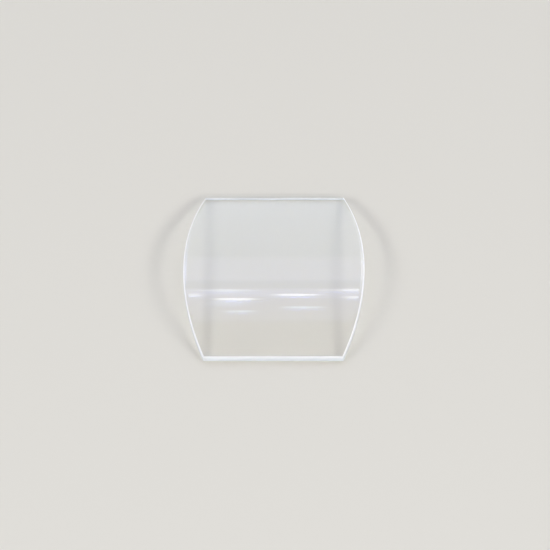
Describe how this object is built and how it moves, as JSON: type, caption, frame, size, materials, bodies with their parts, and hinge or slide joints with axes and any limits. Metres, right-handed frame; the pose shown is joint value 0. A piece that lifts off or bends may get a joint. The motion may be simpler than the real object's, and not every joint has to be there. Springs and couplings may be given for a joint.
{
  "type": "watch crystal",
  "caption": "Curved barrel-shaped watch crystal: one sheet of clear glass arched end to end, with straight ends, bowed sides and upright ground edges over a shallow hollow.",
  "frame": {"origin": "middle of the crystal's footprint, on the plane of the two ground lands it stands on", "axes": "+X to the 3 o'clock side, +Y to the 12 o'clock end, +Z out of the watch, on the side the glass arches to"},
  "size_m": [0.0292, 0.0326, 0.0032],
  "materials": {
    "clear_glass": "polished faces, fine-ground upright edge"
  },
  "bodies": {
    "root": {"crystal": "clear_glass"}
  },
  "joints": []
}
